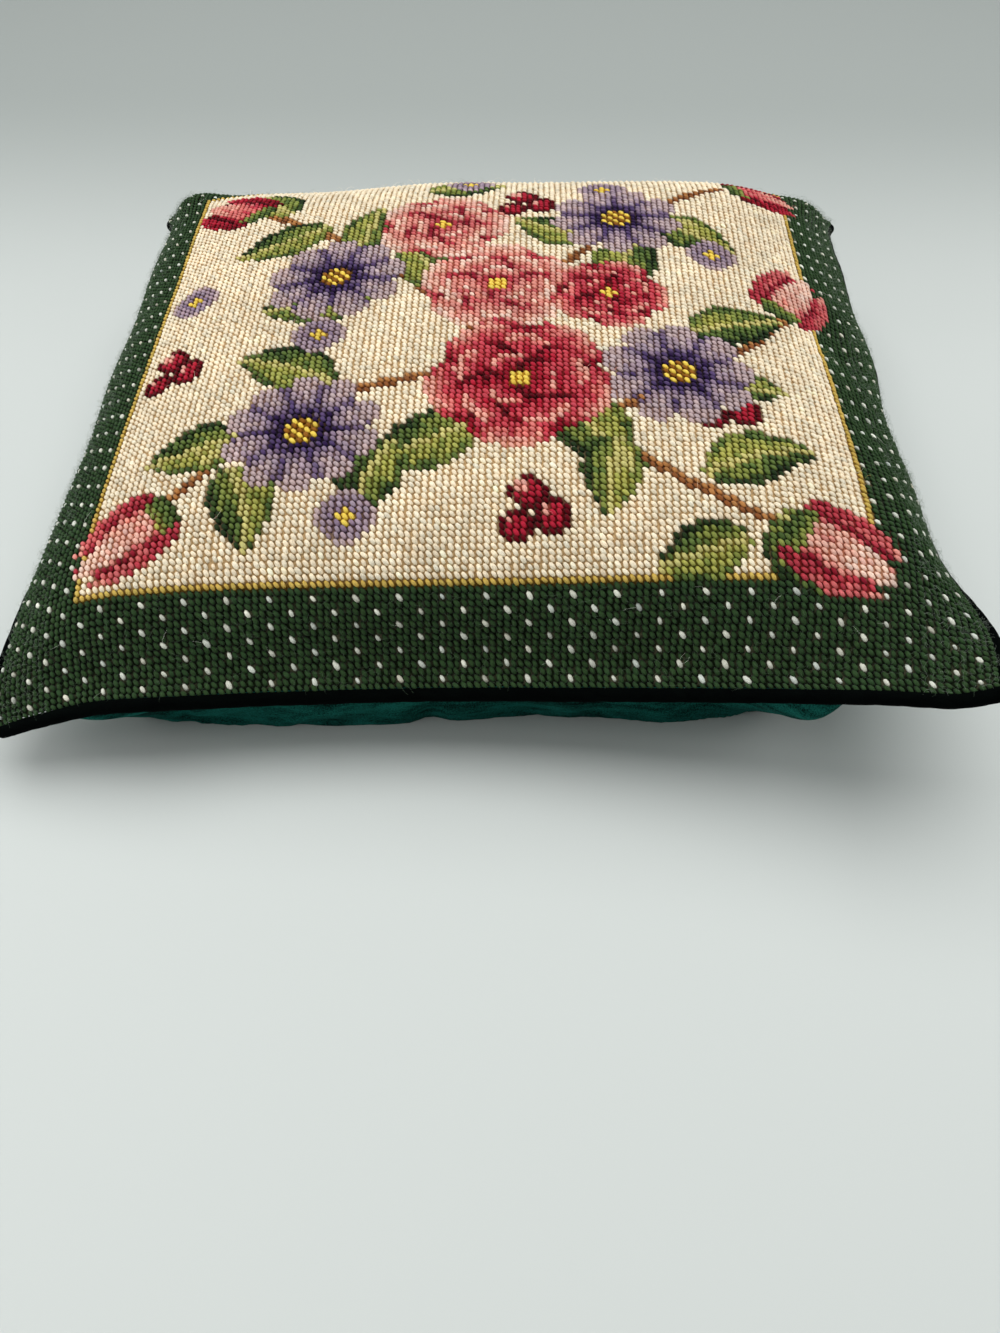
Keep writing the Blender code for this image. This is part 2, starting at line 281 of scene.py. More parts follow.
def newPiece(name, points, faceSets, material, values=(), maps=()):
    # one mesh from whole arrays: faceSets are index arrays of triangles or quads
    corners = np.concatenate([f.ravel() for f in faceSets]).astype(np.int32)
    totals = np.concatenate([np.full(len(f), f.shape[1]) for f in faceSets]).astype(np.int32)
    starts = np.concatenate([[0], np.cumsum(totals)[:-1]]).astype(np.int32)
    mesh = bpy.data.meshes.new(name)
    mesh.vertices.add(len(points))
    mesh.vertices.foreach_set("co", points.astype(np.float32).ravel())
    mesh.loops.add(len(corners))
    mesh.loops.foreach_set("vertex_index", corners)
    mesh.polygons.add(len(totals))
    mesh.polygons.foreach_set("loop_start", starts)
    mesh.polygons.foreach_set("loop_total", totals)
    mesh.update(calc_edges=True)
    for key, data in dict(values).items():
        colour = data.ndim == 2
        made = mesh.attributes.new(key, "FLOAT_COLOR" if colour else "FLOAT", "POINT")
        if colour:
            data = np.concatenate([data, np.ones((len(data), 1))], axis=1)
        made.data.foreach_set("color" if colour else "value", data.astype(np.float32).ravel())
    for key, data in dict(maps).items():
        mesh.uv_layers.new(name=key).data.foreach_set("uv", data[corners].astype(np.float32).ravel())
    mesh.shade_smooth()
    mesh.materials.append(material)
    piece = bpy.data.objects.new(name, mesh)
    bpy.context.scene.collection.objects.link(piece)
    return piece


def feed(tree, node, inputs):
    # a node or one of its sockets is linked, anything else is set
    for socket, value in dict(inputs).items():
        if isinstance(value, bpy.types.Node):
            value = value.outputs[0]
        if isinstance(value, bpy.types.NodeSocket):
            tree.links.new(value, node.inputs[socket])
        else:
            node.inputs[socket].default_value = value


def addNode(tree, kind, inputs=(), **settings):
    made = tree.nodes.new(kind)
    for key, value in settings.items():
        setattr(made, key, value)
    feed(tree, made, inputs)
    return made


def newMaterial(name, **surface):
    material = bpy.data.materials.new(name)
    material.use_nodes = True
    shader = material.node_tree.nodes["Principled BSDF"]
    for key, value in surface.items():
        shader.inputs[key.replace("_", " ")].default_value = value
    return material, material.node_tree, shader


def perMm(size):
    # noise scale for features of that many millimetres, in Object coordinates
    return 1 / (size * mm)


# sizes in mm; a range is the darkest and the lightest share of the colour
woolFinish = {
    "strandScale": (1.6, 5.0, 1.0),      # streaks: along the strand and round it
    "strandTurn": 0.5,                   # the slant of its two plies
    "strandNoise": 1.6,
    "streak": (0.76, 1.20),
    "fuzzSize": 0.45,
    "mottleSize": 24,
    "mottle": (0.92, 1.06),
    "deepShadePower": (1.7, 1.0),             # painted shade: the power down in the stitch, and from brightFrom of its height on
    "brightFrom": 0.8,
    "bumpHeight": 0.25,
}


def tapestryWool():
    # two-ply tapestry wool: matt, hairy, each strand slightly streaked. Down in the stitch its colour is
    # raised to a
    # power as painted shade: pale wools stay warm, dark ones go black
    f = woolFinish
    material, tree, shader = newMaterial(
        "tapestryWool", Roughness=0.95, Specular_IOR_Level=0.04, Sheen_Weight=0.07, Sheen_Roughness=0.5)
    place = addNode(tree, "ShaderNodeTexCoord").outputs["Object"]
    colour = addNode(tree, "ShaderNodeAttribute", attribute_name="woolColour")
    depth = addNode(tree, "ShaderNodeAttribute", attribute_name="woolDepthShade").outputs["Fac"]
    strand = addNode(tree, "ShaderNodeUVMap", uv_map="woolStrand")
    twist = addNode(tree, "ShaderNodeMapping", {
        "Vector": strand, "Scale": f["strandScale"], "Rotation": (0, 0, f["strandTurn"])})
    fibre = addNode(tree, "ShaderNodeTexNoise", {
        "Vector": twist, "Scale": f["strandNoise"], "Detail": 3.0, "Roughness": 0.6})
    fuzz, slow = (addNode(tree, "ShaderNodeTexNoise", {
        "Vector": place, "Scale": perMm(f[size]), "Detail": 2.0}) for size in ("fuzzSize", "mottleSize"))
    spans = ((fibre, 0.3, 0.7, f["streak"]), (slow, 0.3, 0.7, f["mottle"]),
             (depth, 0.0, f["brightFrom"], f["deepShadePower"]))
    streak, mottle, power = (addNode(tree, "ShaderNodeMapRange", {
        "Value": value, "From Min": low, "From Max": high, "To Min": span[0], "To Max": span[1]})
        for value, low, high, span in spans)
    level = addNode(tree, "ShaderNodeMath", {0: streak, 1: mottle}, operation="MULTIPLY")
    texturedColour = addNode(tree, "ShaderNodeVectorMath", {0: colour, "Scale": level}, operation="SCALE")
    # painted shade: the lower in the stitch, the higher the power on the colour
    deep = addNode(tree, "ShaderNodeGamma", {"Color": texturedColour, "Gamma": power})
    both = addNode(tree, "ShaderNodeMath", {0: fibre, 1: fuzz}, operation="ADD")
    bump = addNode(tree, "ShaderNodeBump", {
        "Height": both, "Strength": 0.55, "Distance": f["bumpHeight"] * mm})
    feed(tree, shader, {"Base Color": deep, "Normal": bump})
    return material


def canvasCotton(grainSize=0.6, bumpHeight=0.3):
    # stiff mono canvas under the wool, seen only in the gaps: its colour is painted shade, the wool's
    # above it darkened and browned
    material, tree, shader = newMaterial("canvasCotton", Roughness=0.95, Specular_IOR_Level=0.1)
    place = addNode(tree, "ShaderNodeTexCoord").outputs["Object"]
    colour = addNode(tree, "ShaderNodeAttribute", attribute_name="woolColour")
    grain = addNode(tree, "ShaderNodeTexNoise", {
        "Vector": place, "Scale": perMm(grainSize), "Detail": 2.0})
    level = addNode(tree, "ShaderNodeMapRange", {
        "Value": grain, "From Min": 0.3, "From Max": 0.7, "To Min": 0.7, "To Max": 1.1})
    texturedColour = addNode(tree, "ShaderNodeVectorMath", {0: colour, "Scale": level}, operation="SCALE")
    bump = addNode(tree, "ShaderNodeBump", {"Height": grain, "Strength": 0.5, "Distance": bumpHeight * mm})
    feed(tree, shader, {"Base Color": texturedColour, "Normal": bump})
    return material


velvetFinish = {                         # sizes in mm
    "brushedStretch": (0.45, 1.0, 1.5),  # brushed places are longest across
    "tuftSize": 0.5,
    "bumpHeight": 0.4,
}


def cottonVelvet(name, deep, lit, tint, sheen, pileSize):
    # cut cotton pile: very dark face on, with a soft glow where it is seen edge on, and painted sheen in
    # brushed places
    f = velvetFinish
    material, tree, shader = newMaterial(
        name, Roughness=0.9, Specular_IOR_Level=0.02, Sheen_Weight=sheen, Sheen_Roughness=0.35,
        Sheen_Tint=(*toLinear(tint), 1))
    place = addNode(tree, "ShaderNodeTexCoord").outputs["Object"]
    along = addNode(tree, "ShaderNodeMapping", {"Vector": place, "Scale": f["brushedStretch"]})
    brushed = addNode(tree, "ShaderNodeTexNoise", {
        "Vector": along, "Scale": perMm(pileSize), "Detail": 3.0, "Distortion": 0.8})
    tufts = addNode(tree, "ShaderNodeTexNoise", {
        "Vector": place, "Scale": perMm(f["tuftSize"]), "Detail": 2.0})
    mixed = addNode(tree, "ShaderNodeMath", {0: brushed, 1: tufts}, operation="ADD")
    part = addNode(tree, "ShaderNodeMapRange", {"Value": mixed, "From Min": 0.75, "From Max": 1.25})
    # painted sheen: the brushed noise mixes the lit colour over the deep one
    blend = addNode(tree, "ShaderNodeMix", {
        "Factor": part, 6: (*toLinear(deep), 1), 7: (*toLinear(lit), 1)}, data_type="RGBA").outputs[2]
    bump = addNode(tree, "ShaderNodeBump", {
        "Height": mixed, "Strength": 0.4, "Distance": f["bumpHeight"] * mm})
    feed(tree, shader, {"Base Color": blend, "Normal": bump})
    return material


wool = tapestryWool()
canvas = canvasCotton()
# colour, lighter colour laid on as painted sheen, sheen's tint, its strength, size of the brushed places
# in mm
pipingVelvet = cottonVelvet("pipingVelvet", "#010202", "#030605", "#1C302B", 0.012, 5.0)
backVelvet = cottonVelvet("backVelvet", "#010807", "#1C665C", "#2A7A70", 0.24, 8.0)


# sRGB colours of the dyed wools, each family from dark to light
woolShades = {
    "cream": ("#F4E6CB",),
    "madder": ("#5E0514", "#8A1024", "#AC2237", "#C64854", "#DA7B76", "#E8A999"),
    "blush": ("#8E1F30", "#B8404C", "#CF6A6A", "#DE9488", "#E9B7A6", "#F0CFBD"),
    "lilac": ("#2E1C44", "#56446C", "#74617D", "#8D7A8F", "#A6929E", "#C0ABAC"),
    "leaf": ("#26381D", "#40542A", "#5F723A", "#858F47", "#A9A957", "#C8C07B"),
    "twig": ("#56381F", "#8B5630", "#B27C49"),
    "eye": ("#8A5A1E", "#D6A733", "#F0D25C"),
    "gold": ("#CBAE5A",),
    "green": ("#31482A",),
    "white": ("#D3D5C8",),
}
woolNames = list(woolShades)

# stitch numbers count from the design's own zero, one each canvas thread
chartForm = {
    "left": -78, "right": 62, "front": -13, "back": 125,      # on the seam
    "goldLeft": -64, "goldRight": 47, "goldFront": 2, "goldBack": 108,
    "dotAcross": 3, "dotAlong": 2,                            # dots stand at every other crossing
}
stitchU, stitchV = np.meshgrid(np.arange(chartForm["left"], chartForm["right"] + 1.0),
                               np.arange(chartForm["front"], chartForm["back"] + 1.0), indexing="ij")
chartWool = np.zeros(stitchU.shape, int)
chartShade = np.zeros(stitchU.shape, int)


def workWool(where, name, light=0.5):
    # works the marked stitches in one family of wools; light 0 to 1 picks the shade
    count = len(woolShades[name])
    pick = np.clip((np.asarray(light) * count).astype(int), 0, count - 1) + np.zeros(stitchU.shape, int)
    chartWool[where] = woolNames.index(name)
    chartShade[where] = pick[where]


def turned(x, y, turn):
    # stitch places as distance ahead of and aside from a motif's own axis
    angle = math.radians(turn)
    dx, dy = stitchU - x, stitchV - y
    return dx * math.cos(angle) + dy * math.sin(angle), dy * math.cos(angle) - dx * math.sin(angle)


def workLeaf(x, y, turn, length=17, width=5.0, bend=0.0, tone=0.0):
    # half width is width * sin(pi * part^0.8)^0.85; one half light and one dark, with slanting veins
    ahead, aside = turned(x, y, turn)
    part = np.clip(ahead / length, 0, 1)
    aside = aside - bend * length * part * (1 - part)
    half = width * np.sin(np.pi * part ** 0.8) ** 0.85
    vein = np.mod(ahead - 1.1 * np.abs(aside), 4.6) < 1.1
    light = np.where(aside > 0, 0.72, 0.42) - 0.30 * (np.abs(aside) > 0.72 * half) + 0.1 * (part < 0.5)
    light = np.where(np.abs(aside) < 0.62, 0.95, light - 0.16 * vein) + tone
    workWool((part > 0) & (part < 1) & (np.abs(aside) < half), "leaf", light)


roseForm = {
    "rings": ((0.62, 0.47, 5), (0.40, 0.40, 5), (0.17, 0.30, 3)),    # how far out, petal size, petals
    "twist": 34,                         # degrees from ring to ring
    "eye": 0.12,
}


def workRose(x, y, reach, turn=0.0, name="madder"):
    # rings of oval petals, each laid over the ones outside it: light at the rolled outer edge, dark
    # where a petal goes under the next ring and along its sides
    for ring, (out, size, petals) in enumerate(roseForm["rings"]):
        for petal in range(petals):
            angle = turn + roseForm["twist"] * ring + 360 * petal / petals
            away = reach * out
            px, py = x + away * math.cos(math.radians(angle)), y + away * math.sin(math.radians(angle))
            ahead, aside = turned(px, py, angle)
            ahead, aside = ahead / (0.86 * reach * size), aside / (1.10 * reach * size)
            oval = np.hypot(ahead, aside)
            light = 0.52 + 0.40 * ahead - 0.05 * ring - 0.34 * (oval > 0.84) * (np.abs(aside) > 0.45)
            light = light + 0.20 * ((oval > 0.74) & (ahead > 0.5)) - 0.10 * (np.abs(aside) < 0.10)
            workWool(oval < 1, name, light)
    workWool(np.hypot(stitchU - x, stitchV - y) < roseForm["eye"] * reach, "eye", 0.7)


def workAster(x, y, reach, petals=9, turn=0.0):
    # petals from |cos|, dark in the folds between them and round the golden eye
    far, angle = np.hypot(stitchU - x, stitchV - y), np.arctan2(stitchV - y, stitchU - x)
    fold = np.abs(np.cos(petals * (angle - math.radians(turn)) / 2))
    out = far / reach
    light = 0.34 + 0.66 * out - 0.40 * (fold < 0.34) + 0.14 * (fold > 0.93) - 0.34 * (out < 0.42)
    workWool(out < 0.70 + 0.30 * fold ** 0.5, "lilac", light)
    workWool(out < 0.29, "lilac", 0.02)
    workWool(out < 0.22, "eye", 0.30 + 0.5 * (np.mod(stitchU + stitchV, 2) > 0))


def workTulip(x, y, turn, length=17, width=7.5, name="blush"):
    # a cup: half width is an ellipse along the flower, cut off at three pointed tips
    ahead, aside = turned(x, y, turn)
    part = ahead / length
    half = width * np.sqrt(np.clip(1 - ((part - 0.42) / 0.60) ** 2, 0, 1))
    tips = 0.80 + 0.20 * np.abs(np.cos(1.5 * np.pi * aside / width))
    middle = np.abs(aside) < 0.50 * half * np.clip(1.5 - part, 0.3, 1)
    light = np.where(middle, 0.60 + 0.45 * part, 0.22 + 0.35 * part)
    light = light - 0.25 * (np.abs(np.abs(aside) - 0.5 * half) < 0.7) - 0.10 * (np.mod(aside, 2.6) < 0.9)
    workWool((part > 0) & (part < tips) & (np.abs(aside) < half), name, light)
    workWool((part > -0.06) & (part < 0.16) & (np.abs(aside) < 0.42 * half + 1.0), "leaf", 0.35 + 2 * part)


def workStem(start, bend, end, name="twig", thick=0.85):
    # stitches nearer than thick to a quadratic curve, light on the far side of it
    part = np.linspace(0, 1, 60)[:, None, None]
    x, y = ((1 - part) ** 2 * start[n] + 2 * part * (1 - part) * bend[n] + part ** 2 * end[n]
            for n in (0, 1))
    far = np.hypot(stitchU - x, stitchV - y)
    above = np.take_along_axis(stitchV - y, far.argmin(axis=0)[None], axis=0)[0] > 0
    workWool(far.min(axis=0) < thick, name, np.where(above, 0.75, 0.35))


def workBerries(x, y):
    # three round berries, each with a light spot
    for dx, dy in ((0, 0), (5, 1.5), (1.5, 5.5)):
        far = np.hypot(stitchU - x - dx, stitchV - y - dy)
        workWool(far < 2.7, "madder", 0.42 - 0.3 * (far > 1.9))
        workWool(np.hypot(stitchU - x - dx + 1, stitchV - y - dy - 1) < 0.8, "madder", 0.98)


def workFloret(x, y):
    # four petals: a disc without its diagonals
    far = np.hypot(stitchU - x, stitchV - y)
    cross = np.minimum(np.abs(stitchU - x), np.abs(stitchV - y))
    workWool((far < 4.4) & (cross < 2.1), "lilac", 0.45 + 0.10 * far)
    workWool(far < 1.2, "eye", 0.9)


# a plain garden posy: each row is one motif, worked in this order, later ones over earlier ones
posy = {
    "stems": (
        ((34, 10), (10, 22), (-6, 44)), ((-6, 44), (-22, 70), (-50, 92)),
        ((-6, 44), (6, 80), (34, 98)), ((-4, 40), (-34, 40), (-52, 16)), ((10, 30), (30, 40), (42, 60)),
    ),
    "leaves": (                          # x, y, turn, length, width, bend, tone
        (-8, 30, 205, 18, 5.5, 0.3, 0), (-20, 26, 250, 16, 5.0, -0.2, -0.1), (4, 34, 300, 19, 5.5, 0.2, 0),
        (12, 26, 265, 15, 4.6, 0, 0.08), (24, 18, 20, 18, 5, 0.3, 0), (30, 8, 200, 14, 4.5, 0, 0),
        (20, 42, 345, 19, 5.4, -0.3, 0), (24, 50, 25, 18, 5.2, 0, -0.08), (14, 62, 75, 18, 5.4, 0.25, 0),
        (20, 84, 330, 17, 5.0, 0, 0.06), (10, 76, 150, 16, 5.0, 0, 0), (-14, 60, 120, 18, 5.5, -0.25, 0),
        (-26, 60, 185, 19, 5.2, 0.25, -0.06), (-30, 74, 80, 16, 5, 0, 0), (-36, 84, 205, 18, 5.2, 0.2, 0),
        (-44, 90, 120, 15, 4.6, 0, 0.08), (-30, 38, 155, 18, 5.2, -0.2, 0), (-42, 28, 195, 16, 5, 0, 0.05),
        (-44, 22, 285, 16, 5.0, 0.3, 0), (34, 12, 300, 15, 4.8, -0.2, 0), (-20, 98, 10, 15, 4.6, 0, 0),
    ),
    "tulips": (                          # x, y, turn, length, width, wool
        (-52, 15, 215, 16, 6.5, "blush"), (36, 99, 20, 15, 6.5, "madder"), (40, 60, 60, 17, 7.0, "blush"),
        (-50, 92, 140, 16, 6.8, "madder"), (36, 10, 330, 16, 6.8, "blush"),
    ),
    "berries": ((-4, 88), (-60, 44), (26, 30), (-2, 10)),
    "florets": ((-34, 50), (-26, 12), (30, 74), (12, 96), (-58, 66), (-12, 102)),
    "asters": ((-33, 66, 12, 9, 10), (14, 84, 11.5, 9, 30), (22, 40, 12, 9, 5), (-34, 28, 12, 10, 20)),
    "roses": ((-6, 62, 12.5, 20, "blush"), (-2, 38, 14, 50, "madder"), (-16, 82, 11.5, 0, "blush"),
              (12, 60, 9.5, 70, "madder")),
}


def workChart():
    f = chartForm
    within = ((stitchU >= f["goldLeft"]) & (stitchU <= f["goldRight"])
              & (stitchV >= f["goldFront"]) & (stitchV <= f["goldBack"]))
    inside = ((stitchU > f["goldLeft"]) & (stitchU < f["goldRight"])
              & (stitchV > f["goldFront"]) & (stitchV < f["goldBack"]))
    across, along = stitchU / f["dotAcross"], stitchV / f["dotAlong"]
    dots = (across == np.round(across)) & (along == np.round(along)) & (np.mod(across + along, 2) == 0)
    workWool(~within, "green")
    workWool(dots & ~within, "white")
    workWool(within, "gold")
    workWool(inside, "cream")
    for key, work in (("stems", workStem), ("leaves", workLeaf), ("tulips", workTulip),
                      ("berries", workBerries), ("florets", workFloret), ("asters", workAster),
                      ("roses", workRose)):
        for row in posy[key]:
            work(*row)


workChart()
shadeTable = np.zeros((len(woolNames), max(len(s) for s in woolShades.values()), 3))
for number, shades in enumerate(woolShades.values()):
    shadeTable[number, :len(shades)] = [toLinear(s) for s in shades]
chartColour = shadeTable[chartWool, chartShade]
print("stage: chart worked,", chartWool.size, "stitches")


stitchForm = {
    "lean": (0.68, -1.05),               # each stitch leans from far left to near right
    "halfLength": 0.76,                  # in canvas threads, ends tucked into the holes
    "halfWidth": 0.37,
    "halfHeight": 0.27,
    "tipPower": 0.45,
    "arch": 0.19,                        # how high the middle of the strand stands
    "stations": (-0.62, 0.0, 0.62),
    "ring": (-22, 38, 90, 142, 202),     # degrees round the strand, flat side down
    "wander": 0.045,                     # unevenness of the hand: place, turn, size, height
    "turnSpread": 6.0,
    "sizeSpread": 0.06,
    "heightSpread": 0.08,
    "toneSpread": 0.07,
    "warmSpread": 0.02,
    "strandSlip": (3.1, 7.7),            # so that no two strands have the same streaks
    "cellFill": 0.40,                    # half of a stitch's share of its cell in the bake's map
    "goldFullness": 0.92,
    "dotFullness": 0.93,
    "dotShrink": 0.13,                   # the nap lies thicker over the dots towards the back
    "dotUneven": 2.0,
    "seed": 11,
}
canvasForm = {
    "thickness": 0.7 * mm,
    "clear": 0.05 * mm,
    "shade": (0.2, 0.5),                 # painted shade in the gaps: the canvas colour is this share of the wool's, and of its square
    # shadeTint browns that painted shade
    "shadeTint": (1.0, 0.84, 0.66),
    "mapMargin": 0.01,
}
woolHeight = (stitchForm["arch"] + stitchForm["halfHeight"]) * cushionForm["threadPitch"]


def toFace(u, v):
    # panel coordinates of a stitch place: -1 to 1 from seam to seam
    f = chartForm
    middleU, middleV = (f["left"] + f["right"]) / 2, (f["front"] + f["back"]) / 2
    return (u - middleU) * 2 / (f["right"] - f["left"]), (v - middleV) * 2 / (f["back"] - f["front"])


def gridFaces(rows, columns):
    number = np.arange(rows * columns).reshape(rows, columns)
    corners = [number[:-1, :-1], number[1:, :-1], number[1:, 1:], number[:-1, 1:]]
    return np.stack(corners, axis=-1).reshape(-1, 4)


def tubeFaces(stations, sides):
    # a tube's point numbers by station and side, those one side further round, and its quads
    number = np.arange(stations * sides).reshape(stations, sides)
    after = np.roll(number, -1, axis=1)
    corners = [number[:-1], after[:-1], after[1:], number[1:]]
    return number, after, np.stack(corners, axis=-1).reshape(-1, 4)


def makeCanvas():
    # one grid point at each stitch; its colour is the stitch's, mixed with two beside it and darkened as
    # painted shade
    f = canvasForm
    s, t = toFace(stitchU, stitchV)
    points = onFace(s, t, np.full(s.shape, -woolHeight - f["clear"]))
    colour = chartColour * 0.5 + 0.25 * (np.roll(chartColour, 1, axis=0) + np.roll(chartColour, 1, axis=1))
    # painted shade: the darker the wool, the darker the gap, then browned
    colour = colour * (f["shade"][0] + f["shade"][1] * colour) * np.array(f["shadeTint"])
    sheetMap = np.stack([(s + 1) / 2, (t + 1) / 2], axis=-1).reshape(-1, 2)
    piece = newPiece("canvasSheet", points.reshape(-1, 3), [gridFaces(*s.shape)], canvas,
                     values={"woolColour": colour.reshape(-1, 3)},
                     maps={"OFBake": sheetMap * (1 - 2 * f["mapMargin"]) + f["mapMargin"]})
    solid = piece.modifiers.new("thickness", "SOLIDIFY")
    solid.thickness = f["thickness"]
    solid.offset = -1
    return piece


canvasSheet = makeCanvas()
print("stage: canvas made")


def makeStitches(name, where, fullness=1.0, uneven=1.0):
    # each stitch is a fat curved strand: its width and height shrink as (1 - a^2)^tipPower towards the
    # ends and its middle arches as 1 - a^2, with a from -1 to 1 along it
    f, rng = stitchForm, np.random.default_rng(stitchForm["seed"] + len(name))
    u, v = stitchU[where], stitchV[where]
    count = len(u)
    a = np.repeat(f["stations"], len(f["ring"]))
    angle = np.radians(np.tile(f["ring"], len(f["stations"])))
    slim = (1 - a ** 2) ** f["tipPower"]
    ahead = np.concatenate([a * f["halfLength"], [-f["halfLength"], f["halfLength"]]])
    aside = np.concatenate([f["halfWidth"] * slim * np.cos(angle), [0, 0]])
    up = np.concatenate([f["arch"] * (1 - a ** 2) + f["halfHeight"] * slim * np.sin(angle), [0.0, 0.0]])

    size = fullness * (1 + uneven * f["sizeSpread"] * rng.standard_normal((count, 1)))
    tall = 1 + f["heightSpread"] * rng.standard_normal((count, 1))
    turn = np.radians(f["turnSpread"]) * rng.standard_normal((count, 1))
    shift = f["wander"] * rng.standard_normal((2, count, 1))
    lean = math.atan2(f["lean"][1], f["lean"][0]) + turn
    x = u[:, None] + shift[0] + size * (ahead * np.cos(lean) - aside * np.sin(lean))
    y = v[:, None] + shift[1] + size * (ahead * np.sin(lean) + aside * np.cos(lean))
    height = up * tall * cushionForm["threadPitch"] - woolHeight
    points = onFace(*toFace(x, y), height)

    number, after, strand = tubeFaces(len(f["stations"]), len(f["ring"]))
    first = np.full(len(f["ring"]), number.size)         # the two tips come after the rings
    tips = np.concatenate([np.stack([after[0], number[0], first], axis=-1),
                           np.stack([number[-1], after[-1], first + 1], axis=-1)])
    each = (np.arange(count) * len(ahead))[:, None, None]

    tone = 1 + uneven * f["toneSpread"] * rng.standard_normal((count, 1))
    warmth = f["warmSpread"] * rng.standard_normal((count, 1)) * np.array([[1.0, 0.0, -1.0]])
    colour = np.clip(chartColour[where] * (tone + warmth), 0.001, 1)
    cells = math.ceil(math.sqrt(count))
    cell = np.stack([np.arange(count) % cells, np.arange(count) // cells], axis=-1)[:, None]
    inCell = 0.5 + f["cellFill"] * np.stack([ahead / f["halfLength"], aside / f["halfWidth"]], axis=-1)
    around = np.concatenate([angle, [math.pi / 2] * 2]) / math.pi
    strandMap = np.stack([np.broadcast_to(part, (count, len(part))) + slip * rng.random((count, 1))
                          for part, slip in zip((ahead, around), f["strandSlip"])], axis=-1)
    piece = newPiece(
        name, points.reshape(-1, 3), [(strand + each).reshape(-1, 4), (tips + each).reshape(-1, 3)], wool,
        values={"woolColour": np.repeat(colour, len(ahead), axis=0),
                # woolDepthShade is the height within the stitch, and it sets the painted shade
                "woolDepthShade": np.broadcast_to(np.clip(up / up.max(), 0, 1), (count, len(ahead))).ravel()},
        maps={"woolStrand": strandMap.reshape(-1, 2), "OFBake": ((cell + inCell) / cells).reshape(-1, 2)})
    print("stage:", name, count, "stitches")
    return piece


def worked(*names):
    return np.isin(chartWool, [woolNames.index(n) for n in names])


def dotFullness():
    f, far = stitchForm, np.clip(stitchV / chartForm["back"], 0, 1)
    return (f["dotFullness"] - f["dotShrink"] * far)[worked("white")][:, None]


frontOrBack = (stitchV < chartForm["goldFront"]) | (stitchV > chartForm["goldBack"])
stitchPieces = [
    makeStitches("groundStitches", worked("cream")),
    makeStitches("petalStitches", worked("madder", "blush", "lilac", "eye")),
    makeStitches("leafStitches", worked("leaf", "twig")),
    makeStitches("goldLineStitches", worked("gold"), stitchForm["goldFullness"]),
    makeStitches("dotStitches", worked("white"), dotFullness(), stitchForm["dotUneven"]),
    makeStitches("endBorderStitches", worked("green") & frontOrBack),
    makeStitches("sideBorderStitches", worked("green") & ~frontOrBack),
]


def makePiping():
    # a tube round the seam line: its radius, less the slanting tucks of the bias-cut strip, on a line
    # that sways slowly
    f, rng = pipingForm, np.random.default_rng(pipingForm["seed"])
    centre, out = np.split(closedCurve(np.hstack([pipingCentres, pipingOut]), f["steps"]), 2, axis=1)
    heading = unit(np.roll(centre, -1, axis=0) - np.roll(centre, 1, axis=0))
    out = unit(out - heading * (out * heading).sum(axis=1, keepdims=True))
    up = np.cross(out, heading)
    around = np.linspace(0, 2 * np.pi, f["sides"], endpoint=False)
    length = np.linalg.norm(np.roll(centre, -1, axis=0) - centre, axis=1).sum()
    along = np.arange(f["steps"]) / f["steps"] * 2 * np.pi
    tucks = round(length / f["tuckPitch"])
    wave = np.zeros(f["steps"])
    for waves in f["swayWaves"]:
        wave += np.sin(waves * along + rng.uniform(0, 6.3)) / len(f["swayWaves"])
    angle, place = np.meshgrid(around, along)
    slant = np.sin(tucks * place + f["tuckSlant"] * angle + f["tuckUneven"] * wave[:, None])
    tuck = f["tuckDepth"] * (0.5 + 0.5 * slant) ** 3
    radius = f["radius"] * (1 + f["thickSpread"] * wave[:, None]) - tuck
    swayUp = f["sway"] * np.roll(wave, f["swayStagger"])
    middle = centre + out * (f["sway"] * wave * f["swayOut"])[:, None] + up * swayUp[:, None]
    points = (middle[:, None] + radius[..., None] * (np.cos(angle)[..., None] * out[:, None]
                                                     + np.sin(angle)[..., None] * up[:, None]))
    number = np.arange(f["steps"] * f["sides"]).reshape(f["steps"], f["sides"])
    a, b = np.roll(number, -1, axis=1), np.roll(number, -1, axis=0)
    faces = np.stack([number, b, np.roll(b, -1, axis=1), a], axis=-1).reshape(-1, 4)
    return newPiece("pipingTube", points.reshape(-1, 3), [faces], pipingVelvet)


pipingTube = makePiping()
print("stage: piping made")


bodyForm = {
    "panelThickness": 2.5 * mm,
    "clear": 0.3 * mm,
    "rimHeight": 0.8 * mm,
    "rimStation": 0.979,                 # the velvet's own seam, just inside the panel's
    "backDepth": 72.0 * mm,
    "backPowers": (4.6, 0.55),
    "cornerThinning": (0.85, 2.0),
    "bellyAcross": -0.015,
    "bellyAlong": -0.012,
    "bellyPower": 16.0,
    "bellyFade": (6.0, 1.0),
    # the front as it lies: place across, reach, how far the velvet is pushed out
    "frontFolds": ((-0.80, 0.11, 10.0 * mm), (-0.62, 0.018, -2.6 * mm), (-0.40, 0.26, 4.0 * mm),
                   (-0.088, 0.032, -2.2 * mm), (0.04, 0.08, -1.6 * mm), (0.33, 0.17, -5.0 * mm),
                   (0.50, 0.08, -3.8 * mm), (0.70, 0.075, 9.8 * mm), (0.81, 0.022, -5.0 * mm),
                   (0.89, 0.05, 12.0 * mm)),
    "puckerDepth": 1.8 * mm,
    "puckerReach": 5.0,
    "puckerWaves": ((7.0, 0.4, 0.6), (11.0, 2.1, 0.4)),
    "steps": 150,
}


